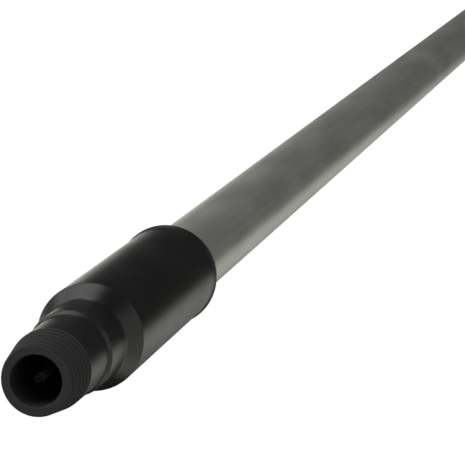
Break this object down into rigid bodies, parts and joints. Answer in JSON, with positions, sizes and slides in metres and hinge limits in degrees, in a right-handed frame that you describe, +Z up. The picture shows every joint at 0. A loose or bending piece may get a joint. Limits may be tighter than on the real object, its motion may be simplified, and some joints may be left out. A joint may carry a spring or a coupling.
{
  "type": "fed extension pole",
  "caption": "Telescoping aluminium extension pole with a black moulded head, hollow threaded nozzle with check valve, twist lock, ribbed grip and hose plug.",
  "frame": {"origin": "centre of the nozzle's face, on the pole's axis", "axes": "+Y along the pole from the nozzle to the butt, +Z up, with the pole lying level"},
  "size_m": [0.047, 1.788, 0.0464],
  "materials": {
    "nozzle_plastic": "moulded, matt dark grey",
    "head_plastic": "moulded, satin black",
    "lock_plastic": "moulded, satin black",
    "tube_aluminium": "drawn and anodised, satin",
    "grip_rubber": "soft, matt",
    "rubber": "matt",
    "spring_steel": "bright",
    "brass": "turned"
  },
  "bodies": {
    "head_section": {"threaded_nozzle": "nozzle_plastic", "head_socket": "head_plastic", "valve_seat": "brass", "pin_guide": "head_plastic", "valve_spring": "spring_steel", "spring_basket": "head_plastic", "nozzle_seal": "rubber", "tube_gasket": "rubber", "front_tube": "tube_aluminium", "guide_bush": "nozzle_plastic", "lock_body": "lock_plastic", "lock_collet": "nozzle_plastic"},
    "valve": {"valve_pin": "head_plastic", "valve_poppet": "brass", "poppet_washer": "rubber"},
    "wedge": {"wedge_ring": "nozzle_plastic"},
    "nut": {"lock_nut": "lock_plastic", "wiper_ring": "rubber"},
    "handle": {"handle_tube": "tube_aluminium", "piston_plug": "nozzle_plastic", "piston_seals": "rubber", "piston_pins": "spring_steel", "grip_collar": "lock_plastic", "grip_sleeve": "grip_rubber", "end_fitting": "lock_plastic", "fitting_seal": "rubber", "fitting_pins": "spring_steel", "plug_washer": "rubber", "hose_plug": "lock_plastic", "plug_seal": "rubber"}
  },
  "joints": [
    {"name": "telescope", "type": "slide", "parent": "head_section", "child": "handle", "axis": [0, 1, 0], "range_m": [0, 1]},
    {"name": "wedge_advance", "type": "slide", "parent": "head_section", "child": "wedge", "axis": [0, 1, 0], "range_m": [0, 0.0015]},
    {"name": "nut_turn", "type": "hinge", "parent": "wedge", "child": "nut", "pos_m": [0, 1.48, 0], "axis": [0, 1, 0], "range_deg": [0, 180]},
    {"name": "valve_push", "type": "slide", "parent": "head_section", "child": "valve", "axis": [0, 1, 0], "range_m": [0, 0.004], "stiffness_N_per_m": 400, "springref_m": -0.01, "deforming": ["valve_spring"]}
  ],
  "couplings": [
    {"joint": "wedge_advance", "follows": "nut_turn", "m_per_rad": 0.00047746}
  ]
}
